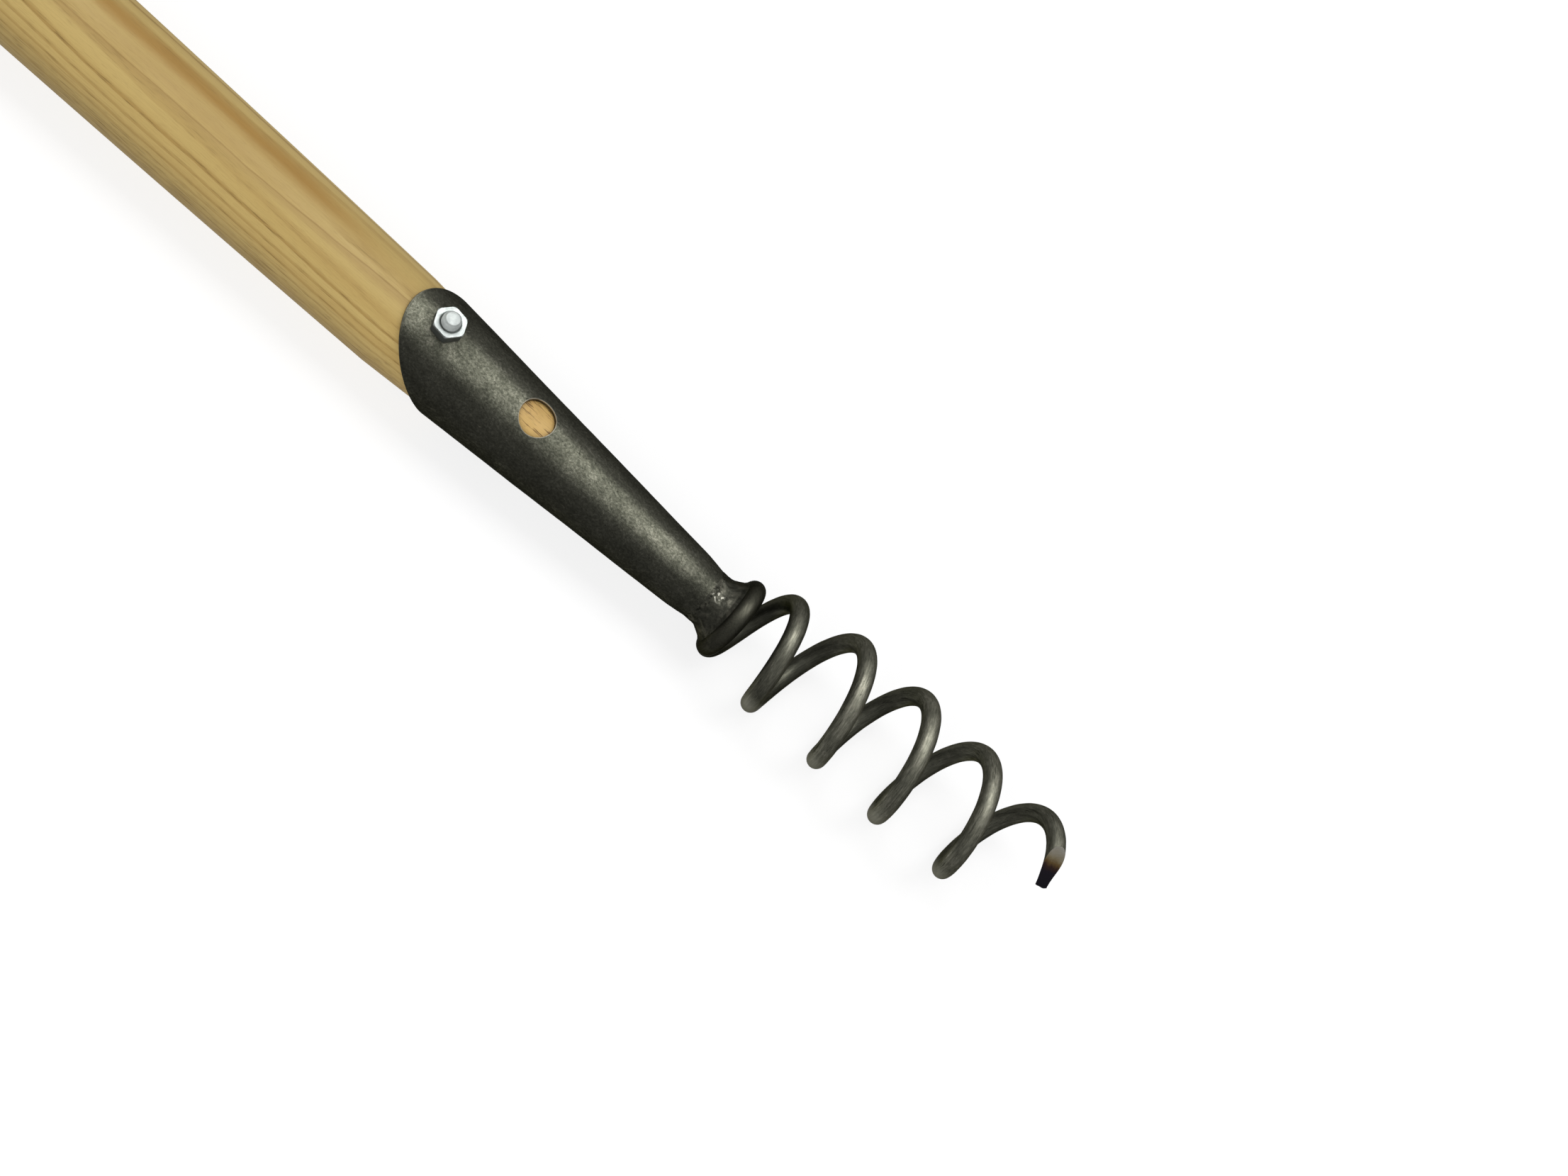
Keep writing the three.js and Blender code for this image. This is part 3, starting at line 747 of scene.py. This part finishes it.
def build_socket():
    sides = 208
    cavity_end = -104.0
    spigot_end = RING_X + ROD_R - 1

    def skin_point(x, angle, inset):
        y, z = math.sin(angle), math.cos(angle)
        r = cone_radius(x) - inset
        wave = 0.10 * lump((x, y * r, z * r), 0.045) + 0.035 * lump((x, y * r, z * r), 0.21, 5)
        r += wave * min(1, max(0, (CONE_FLAT_X - x) / 12))
        if inset < 1:
            # the wall is pressed up to the nut's face
            d = math.hypot(x - BOLT_X, y * r)
            if z > 0 and d < 9:
                s = max(0.0, 1 - max(0.0, d - 3.5) / 5.5)
                r += 0.6 * s * s * (3 - 2 * s)
        return (x, r * y, r * z)

    def ring(inset, setback, share, end):
        """A ring a share of the way from the mouth, less a setback, to a station."""
        made = []
        for angle in round_turns(sides):
            start = mouth_x(angle) + setback
            made.append(skin_point(start + (end - start) * share, angle, inset))
        return made

    rings = [ring(inset, setback, 0, 0) for inset, setback in (
        (1.05, 0.0), (0.45, 0.0), (0.12, 0.15))]
    rings += [ring(0, 0.55, s, CONE_FLAT_X) for s in spaced(0, 1, 110)]
    rings += [circle_z(x, r, sides) for x, r in (
        (CONE_END_X - 2, CONE_R - 0.18), (CONE_END_X, CONE_R - 0.45), (-90.2, 9.86),
        (-88.4, 9.56), (NECK_X - 2, NECK_R), (NECK_X, NECK_R - 0.12),
        (NECK_X + 3.4, NECK_R - 0.35), (NECK_X + 4.2, SPIGOT_R), (spigot_end - 0.6, SPIGOT_R),
        (spigot_end, SPIGOT_R - 0.6), (spigot_end, SPIGOT_R * 0.5))]
    rings.append([(spigot_end, 0, 0)])
    inner = [ring(WALL, 0.4, s, cavity_end) for s in spaced(0, 1, 60)]
    rings = [[(cavity_end, 0, 0)], *reversed(inner), *rings]
    socket = make("socket", rings, [scale], sharp=50)
    bolt_hole = drill("bolt_hole", 5, THROUGH, BOLT_R + GAP, 48, axis="Z", centre=(BOLT_X, 0, 0))
    carve(socket, [sight_tool(), bolt_hole], sharp=42)
    mark_rim(socket)
    return socket


def sight_tool():
    """The sight hole, its rim eased by following the cone's surface."""
    floor_z, top_z = 4.0, 22.0
    rings = [[(HOLE_X, -HOLE_LEAN * 0.4, floor_z)]]
    for wider, lift in ((0, None), (0, -0.45), (0.07, -0.18), (0.2, 0.0), (0.5, 0.3), (0.9, 2.0)):
        r = HOLE_R + wider
        ring = []
        for turn in round_turns(96):
            x, y = HOLE_X + r * math.cos(turn), r * math.sin(turn) - HOLE_LEAN
            surface = math.sqrt(max(1.0, cone_radius(x) ** 2 - y * y))
            ring.append((x, y, floor_z if lift is None else surface + lift))
        rings.append(ring)
    rings.append([(HOLE_X, -HOLE_LEAN, top_z)])
    return make("sight", rings, [], sharp=30)


def mark_rim(socket):
    """How much each point belongs to the mouth's worn edge."""
    mouth_end, width = -160, 0.5
    values = []
    for vertex in socket.data.vertices:
        p = (vertex.co - ORIGIN) / MM
        away = abs(p.x - mouth_x(math.atan2(p.y, p.z)))
        values.append(max(0.0, 1 - away / width) if p.x < mouth_end else 0.0)
    layer = socket.data.attributes.new("rim", "FLOAT", "POINT")
    layer.data.foreach_set("value", values)


def build_weld():
    """The weld's collar: lumps over the neck joint, then a hollow fillet up to the closed turn."""
    start, end = -88.0, -77.6
    # station, radius and how high the lumps are
    profile = [(start, NECK_R + 0.02, 0.05), (-87.2, NECK_R + 0.18, 0.25),
               (-86.4, NECK_R + 0.22, 0.5), (-85.4, NECK_R + 0.16, 0.55),
               (-84.4, NECK_R + 0.1, 0.4), (-83.6, NECK_R + 0.16, 0.45),
               (-82.8, NECK_R + 0.38, 0.5), (-82.0, NECK_R + 0.8, 0.45),
               (-81.2, NECK_R + 1.25, 0.3), (-80.4, NECK_R + 1.75, 0.15),
               (-79.7, RING_R - 0.35, 0.06), (-79.1, RING_R + 0.3, 0.0),
               (-78.4, RING_R + 1.0, 0.0), (end, RING_R + 1.2, 0.0)]
    dense = []
    for (x0, r0, k0), (x1, r1, k1) in zip(profile, profile[1:]):
        dense += [(x0 + (x1 - x0) * s, r0 + (r1 - r0) * s, k0 + (k1 - k0) * s)
                  for s in (0, 0.34, 0.67)]
    sides = 176
    rings = [circle_z(start, NECK_R - 1.2, sides)]
    for x, r, height in dense:
        ring = []
        for turn in round_turns(sides):
            y, z = math.sin(turn), math.cos(turn)
            facing = 0.55 + 0.45 * (y * TOWARDS.y + z * TOWARDS.z)
            bead = max(-0.35, 0.8 * lump((x, y * r, z * r), 0.36, 3) +
                       0.25 * lump((x, y * r, z * r), 1.0, 9))
            reach = r + height * facing * bead
            ring.append((x, reach * y, reach * z))
        rings.append(ring)
    rings.append(circle_z(end, NECK_R - 0.6, sides))
    return make("weld_collar", rings, [weld], closed=True, sharp=60)


def coil_x(turns):
    """The coil's station, with a pitch that changes a little along it."""
    return PITCH * turns + PITCH_TERMS[0] * turns ** 2 + PITCH_TERMS[1] * turns ** 3


def rod_centre(degrees):
    """The rod's middle: the coil, and before it the way out from the closed turn."""
    x = coil_x((degrees - COIL_PHASE) / 360)
    radius = COIL_R - BARREL * x * x
    offset = THROW
    if degrees < FREE_ANGLE:
        free = (FREE_ANGLE - COIL_PHASE) / 360
        s = min(1, max(0, (degrees - LEAVE_ANGLE) / (FREE_ANGLE - LEAVE_ANGLE)))
        free_x = coil_x(free)
        free_pitch = PITCH + 2 * PITCH_TERMS[0] * free + 3 * PITCH_TERMS[1] * free ** 2
        x = (RING_X * (2 * s ** 3 - 3 * s ** 2 + 1) + free_x * (3 * s ** 2 - 2 * s ** 3)
             + LEAVE_PITCH * (s ** 3 - 2 * s ** 2 + s) + free_pitch * (s ** 3 - s ** 2))
    if degrees < CENTRE_ANGLE:
        s = min(1, max(0, (degrees - LEAVE_ANGLE) / (CENTRE_ANGLE - LEAVE_ANGLE)))
        full = COIL_R - BARREL * FULL_X ** 2
        radius = RING_R + (full - RING_R) * min(1, s / FULL_SHARE) ** 0.7
        offset = THROW * s
    turn = THROW_ANGLE + math.radians(degrees)
    return Vector((x, offset * math.cos(THROW_ANGLE) + radius * math.cos(turn),
                   offset * math.sin(THROW_ANGLE) + radius * math.sin(turn)))


def rod_frames(step):
    """Along the rod: centre, the way along it, outwards from the coil, sideways, and length."""
    count = round((END_ANGLE - LEAVE_ANGLE + LEAD_IN) / step)
    frames, length = [], 0.0
    before = None
    for degrees in spaced(LEAVE_ANGLE - LEAD_IN, END_ANGLE, count):
        centre = rod_centre(degrees)
        along = (rod_centre(degrees + 0.5) - rod_centre(degrees - 0.5)).normalized()
        outward = Vector((0, centre.y, centre.z))
        outward = (outward - along * outward.dot(along)).normalized()
        length += (centre - before).length if before else 0
        before = centre
        frames.append((centre, along, outward, along.cross(outward), length))
    return frames


def facet_tool():
    """A block whose lower face is the ground facet, leaning a little towards the point."""
    end = rod_centre(END_ANGLE)
    along = (end - rod_centre(END_ANGLE - 1)).normalized()
    facing = Vector((0, end.y, end.z)).normalized() * math.cos(FACET_TILT)
    facing += Vector((math.sin(FACET_TILT), 0, 0))
    facing = (facing - along * facing.dot(along)).normalized()
    across = facing.cross(along)
    base = end - facing * FACET_DEPTH
    back, fore, half, height = -17, 5, 6, 20
    corners = [(back, -half), (fore, -half), (fore, half), (back, half)]
    low = [tuple(base + along * u + across * v) for u, v in corners]
    high = [tuple(base + along * u + across * v + facing * height) for u, v in corners]
    centre = base + along * (back + fore) / 2
    rings = [[tuple(centre)], low, high, [tuple(centre + facing * height)]]
    return make("facet", rings, [ground], sharp=10), facing


def build_corkscrew():
    sides = 36
    frames = rod_frames(2.4)
    rings = []
    for i, (centre, _, outward, side, _) in enumerate(frames):
        # it begins a little thinner, inside the closed turn
        reach = ROD_R * (0.9 + 0.1 * min(1.0, i / 12))
        ring = []
        for turn in round_turns(sides):
            way = outward * math.cos(turn) + side * math.sin(turn)
            point = centre + way * reach
            ring.append(tuple(point + way * 0.035 * lump(point, 0.25)))
        rings.append(ring)
    # the cut end is a little uneven
    centre, along = frames[-1][:2]
    last = rings[-1]
    for share, push in ((0.82, 0.25), (0.45, 0.3)):
        rings.append([tuple(centre + (Vector(p) - centre) * share
                            + along * (push + 0.35 * lump(p, 0.7, 4))) for p in last])
    rings.append([tuple(centre + along * 0.35)])
    rings.insert(0, [tuple(frames[0][0])])
    piece = make("corkscrew", rings, [rod_steel, ground], sharp=40)
    onward = Vector((1, 0, 0))
    rings = []
    for turn in round_turns(150):
        outward = Vector((0, math.cos(turn), math.sin(turn)))
        middle = Vector((RING_X, 0, 0)) + outward * RING_R
        rings.append([tuple(middle + (outward * math.cos(t) + onward * math.sin(t)) * ROD_R)
                      for t in round_turns(sides)])
    closed = make("closed_turn", rings, [rod_steel], closed=True)
    carve(piece, [closed], operation="UNION", sharp=35)
    tool, facing = facet_tool()
    carve(piece, [tool], sharp=35)
    mark_strand(piece, frames, facing)
    return piece


def mark_strand(piece, frames, facing):
    """Each point's millimetres from the tip, outwards and sideways, for the lines along the rod.

    The faces near the tip that look the facet's way get the ground steel.
    """
    tree = KDTree(len(frames))
    for i, item in enumerate(frames):
        tree.insert(item[0], i)
    tree.balance()
    total = frames[-1][4]
    values = []
    for vertex in piece.data.vertices:
        p = (vertex.co - ORIGIN) / MM
        centre, along, outward, side, length = frames[tree.find(p)[1]]
        away = p - centre
        values += [total - length - away.dot(along), away.dot(outward), away.dot(side)]
    layer = piece.data.attributes.new("strand", "FLOAT_VECTOR", "POINT")
    layer.data.foreach_set("vector", values)
    tip, facet_reach, aligned = frames[-1][0], 22, 0.995
    for face in piece.data.polygons:
        near = (face.center - ORIGIN) / MM - tip
        if near.length < facet_reach:
            face.material_index = 1 if face.normal.dot(facing) > aligned else 0


# ---- bolt and nut -------------------------------------------------------------------------------
def build_bolt():
    top = SEAT + NUT_HEIGHT + STANDS_OUT
    sides = 60
    dome, rim = 78, 0.2
    rings = [[(BOLT_X, 0, HEAD_SEAT - HEAD_HEIGHT)]]
    for t in spaced(0, dome, 14)[1:]:
        r = HEAD_R * math.sin(math.radians(t)) / math.sin(math.radians(dome))
        z = HEAD_SEAT - rim - (HEAD_HEIGHT - rim) * math.cos(math.radians(t))
        rings.append(circle_up(BOLT_X, r, z, sides))
    rings.append(circle_up(BOLT_X, HEAD_R, HEAD_SEAT, sides))
    neck = []
    for turn in round_turns(sides):
        fold = (turn + math.pi / 4) % (math.pi / 2) - math.pi / 4
        neck.append(min(BOLT_R / math.cos(fold), 4.0))
    for z in (HEAD_SEAT, SQUARE_TOP - 0.3):
        rings.append([(BOLT_X + d * math.cos(turn), d * math.sin(turn), z)
                      for turn, d in zip(round_turns(sides), neck)])
    thread_start = SEAT - 3
    rings += [circle_up(BOLT_X, BOLT_R - 0.02, z, sides) for z in (SQUARE_TOP, thread_start)]
    # an M6 thread, pitch 1 mm, under a chamfered end
    for z in spaced(thread_start, top - 0.05, 190):
        ring = []
        for turn in round_turns(sides):
            phase = (z - turn / (2 * math.pi)) % 1.0
            groove = 0.62 * (1 - abs(2 * phase - 1)) ** 1.2 * min(1.0, (z - thread_start) / 1.5)
            r = min(BOLT_R - groove, 2.2 + (top - z) * 0.8)
            ring.append((BOLT_X + r * math.cos(turn), r * math.sin(turn), z))
        rings.append(ring)
    rings += [circle_up(BOLT_X, 2.05, top, sides), circle_up(BOLT_X, 1.2, top, sides),
              [(BOLT_X, 0, top)]]
    return make("carriage_bolt", rings, [bolt_zinc], sharp=38)


def build_nut():
    sides = 216
    flat = NUT_FLATS / 2
    corner = flat / math.cos(math.pi / 6) - 0.12
    rings = []
    # rings lie close together where its corners are rounded off, at both faces
    levels = [0, 0.04, 0.1, 0.18, 0.26, 0.36, 0.48, 0.6, 0.75]
    heights = levels + spaced(levels[-1], NUT_HEIGHT - levels[-1], 6)[1:-1]
    heights += [NUT_HEIGHT - h for h in reversed(levels)]
    for h in heights:
        limit = corner - 0.3 + min(h, NUT_HEIGHT - h) / math.tan(math.radians(30))
        ring = []
        for turn in round_turns(sides):
            fold = turn % (math.pi / 3) - math.pi / 6
            r = min(flat / math.cos(fold), corner, limit)
            ring.append((BOLT_X + r * math.cos(turn + NUT_TURN), r * math.sin(turn + NUT_TURN),
                         SEAT + h))
        rings.append(ring)
    top = SEAT + NUT_HEIGHT
    rings += [circle_up(BOLT_X, r, z, sides) for r, z in (
        (3.75, top), (3.55, top - 0.05), (3.05, top - 0.5), (3.05, SEAT + 0.5), (3.55, SEAT))]
    return make("hex_nut", rings, [nut_zinc], closed=True, sharp=24)


grip, shaft, wedge = build_grip(), build_shaft(), build_wedge()
socket, collar, corkscrew = build_socket(), build_weld(), build_corkscrew()
bolt, nut = build_bolt(), build_nut()

for piece, slot in ((grip, "ash_grip"), (shaft, "ash_shaft"), (wedge, "ash_wedge"),
                    (socket, "scaled_steel"), (collar, "weld_steel"), (corkscrew, "rod_steel"),
                    (bolt, "zinc_bolt"), (nut, "zinc_nut")):
    node = piece.name.split(".")[0]
    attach(piece, "root")
    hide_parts(node)


# ---- floor, light and camera --------------------------------------------------------------------
def build_floor():
    mesh = bpy.data.meshes.new("floor")
    half, level = 12.0, cad_low.z - 0.0002
    corners = [(-half, -half, level), (half, -half, level), (half, half, level),
               (-half, half, level)]
    mesh.from_pydata(corners, [], [(0, 1, 2, 3)])
    floor = bpy.data.objects.new("floor", mesh)
    bpy.context.scene.collection.objects.link(floor)
    g = Graph("floor", Roughness=0.9, Specular_IOR_Level=0.0, Base_Color=(0.3, 0.3, 0.3, 1),
              Emission_Color=(1, 1, 1, 1), Emission_Strength=0.76)
    mesh.materials.append(g.material)
    floor.visible_glossy = False


def area_light(name, direction, distance, size, energy, diffuse=True, glossy=True):
    """A rectangular light that looks at the middle of the tool."""
    data = bpy.data.lights.new(name, "AREA")
    data.shape = "RECTANGLE"
    data.size, data.size_y = size
    data.energy = energy
    light = bpy.data.objects.new(name, data)
    bpy.context.scene.collection.objects.link(light)
    light.visible_diffuse, light.visible_glossy = diffuse, glossy
    way = Vector(direction).normalized()
    right = Vector((1, 0, 0))
    right = (right - way * right.dot(way)).normalized()
    basis = Matrix((right, way.cross(right), way)).transposed()
    place = Vector((0, 0, 0.02)) + way * distance
    light.matrix_world = Matrix.Translation(place) @ basis.to_4x4()


# How strong the sky is, from straight down (-1) to straight up (1).
SKY = [(-1.0, 0.60), (-0.75, 0.45), (-0.4, 0.17), (-0.1, 0.14), (0.3, 0.34), (1.0, 0.34)]


def build_sky(tree):
    """Light from all round by SKY's strengths; the camera itself sees it nearly white."""
    add, link = tree.nodes.new, tree.links.new
    background = tree.nodes["Background"]
    height, level = add("ShaderNodeSeparateXYZ"), add("ShaderNodeMapRange")
    ramp = add("ShaderNodeValToRGB")
    link(add("ShaderNodeTexCoord").outputs["Generated"], height.inputs[0])
    link(height.outputs["Z"], level.inputs["Value"])
    level.inputs["From Min"].default_value = -1.0
    link(level.outputs["Result"], ramp.inputs["Fac"])
    stops = ramp.color_ramp.elements
    while len(stops) < len(SKY):
        stops.new(0.5)
    for stop, (where, strength) in zip(stops, SKY):
        stop.position = where / 2 + 0.5
        stop.color = (strength, strength, strength, 1)
    seen_by_camera, strength = add("ShaderNodeLightPath"), add("ShaderNodeMix")
    link(seen_by_camera.outputs["Is Camera Ray"], strength.inputs["Factor"])
    link(ramp.outputs["Color"], strength.inputs["A"])
    strength.inputs["B"].default_value = 0.92
    link(strength.outputs["Result"], background.inputs["Strength"])
    background.inputs["Color"].default_value = (1, 1, 1, 1)


def around(degrees):
    """A direction across the shaft, turned from the camera's side towards its upper right."""
    turn = math.radians(degrees)
    return TOWARDS * math.cos(turn) + SIDE * math.sin(turn)


build_floor()
area_light("key", around(44), 1.6, (2.2, 0.75), 15.0)
area_light("gloss", around(44), 1.6, (2.2, 0.75), 15.0, diffuse=False)
area_light("fill", around(-20), 1.8, (2.2, 1.2), 14.0, glossy=False)

world = bpy.data.worlds.new("studio")
bpy.context.scene.world = world
world.use_nodes = True
build_sky(world.node_tree)

bpy.context.scene.view_settings.view_transform = "Standard"

camera_data = bpy.data.cameras.new("camera")
camera_data.sensor_width = 36.0
camera_data.lens = 42.31
camera_data.clip_start = 0.01
camera = bpy.data.objects.new("camera", camera_data)
bpy.context.scene.collection.objects.link(camera)


def seen(a, side, front):
    """A direction given along the shaft, to its upper right and towards the camera."""
    return Vector((a, 0, 0)) + SIDE * side + TOWARDS * front


right, up = seen(0.7277, 0.6731, 0.1318), seen(-0.6623, 0.7395, -0.1199)
forward = seen(0.1782, 0, -0.984)
stand = ORIGIN + seen(-0.1754, 0.01869, 0.5861)
turned_to = Matrix((right, up, -forward)).transposed().to_4x4()
camera.matrix_world = Matrix.Translation(stand) @ turned_to
bpy.context.scene.camera = camera
